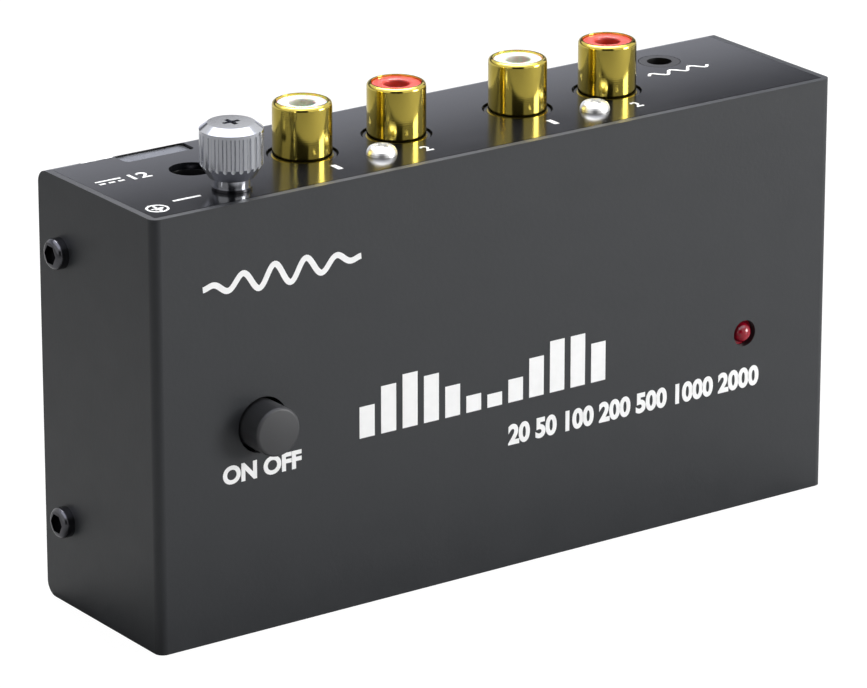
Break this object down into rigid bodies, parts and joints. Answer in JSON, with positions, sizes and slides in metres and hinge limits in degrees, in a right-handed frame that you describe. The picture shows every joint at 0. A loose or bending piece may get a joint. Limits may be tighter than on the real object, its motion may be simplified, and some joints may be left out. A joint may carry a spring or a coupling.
{
  "type": "phono preamp",
  "caption": "Small sheet-metal audio box with gold phono sockets, a line socket, power socket, earth thumbscrew, push button and status lamp.",
  "frame": {"origin": "middle of the casing's narrow underside, on which it stands in the picture", "axes": "+X along the box, -Y out of the large face with the button, +Z out of the socket panel"},
  "size_m": [0.1184, 0.0351, 0.0713],
  "materials": {
    "case_paint": "satin dark grey powder coat",
    "panel_paint": "semi-gloss black paint",
    "black_screw": "black oxide",
    "rubber": "moulded",
    "board": "solder mask on glass fibre",
    "bright_steel": "nickel plated",
    "black_moulding": "moulded",
    "gold_plate": "gold flash plating",
    "white_insulator": "moulded",
    "red_insulator": "moulded",
    "bright_aluminium": "turned",
    "tinned_wire": "tinned",
    "wire_sleeve": "PVC",
    "red_lens": "clear red",
    "white_moulding": "moulded",
    "capacitor_sleeve": "shrink sleeve",
    "film_case": "moulded",
    "resistor_coat": "lacquer",
    "spring_steel": "drawn wire"
  },
  "bodies": {
    "root": {"cover": "case_paint", "tray": "panel_paint", "side_screws_left": "black_screw", "side_screws_right": "black_screw", "rubber_feet": "rubber", "circuit_board": "board", "board_pillars": "bright_steel", "board_screws": "bright_steel", "input_socket_block": "black_moulding", "output_socket_block": "black_moulding", "input_left_shell": "gold_plate", "input_left_insulator": "white_insulator", "input_left_contact": "gold_plate", "input_right_shell": "gold_plate", "input_right_insulator": "red_insulator", "input_right_contact": "gold_plate", "output_left_shell": "gold_plate", "output_left_insulator": "white_insulator", "output_left_contact": "gold_plate", "output_right_shell": "gold_plate", "output_right_insulator": "red_insulator", "output_right_contact": "gold_plate", "socket_block_screws": "bright_steel", "power_socket_body": "black_moulding", "power_socket_pin": "bright_steel", "power_socket_spring": "spring_steel", "line_socket_body": "black_moulding", "line_socket_contacts": "spring_steel", "earth_nut": "bright_steel", "earth_lug": "tinned_wire", "earth_wire": "wire_sleeve", "switch_base": "black_moulding", "switch_frame": "bright_steel", "switch_spring": "spring_steel", "status_lamp": "red_lens", "lamp_spacer": "white_moulding", "lamp_leads": "tinned_wire", "heat_spreader": "bright_aluminium", "amplifier_chips": "black_moulding", "chip_pins": "tinned_wire", "electrolytic_capacitors": "capacitor_sleeve", "film_capacitors": "film_case", "resistors": "resistor_coat", "resistor_leads": "tinned_wire", "voltage_regulator": "black_moulding", "polarity_diode": "black_moulding", "diode_leads": "tinned_wire"},
    "button": {"power_button": "black_moulding", "switch_plunger": "white_moulding"},
    "earth_collar": {"earth_washer": "black_screw"},
    "earth_screw": {"earth_thumbscrew": "bright_aluminium"}
  },
  "joints": [
    {"name": "button_press", "type": "slide", "parent": "root", "child": "button", "axis": [0, 1, 0], "range_m": [0, 0.0025], "stiffness_N_per_m": 250, "springref_m": -0.002, "deforming": ["switch_spring"]},
    {"name": "earth_collar_rise", "type": "slide", "parent": "root", "child": "earth_collar", "axis": [0, 0, 1], "range_m": [0, 0.002]},
    {"name": "earth_screw_turn", "type": "hinge", "parent": "earth_collar", "child": "earth_screw", "pos_m": [-0.041, -0.0084, 0.0625], "axis": [0, 0, 1], "range_deg": [0, 1440]}
  ],
  "couplings": [
    {"joint": "earth_screw_turn", "follows": "earth_collar_rise", "rad_per_m": 12566}
  ]
}
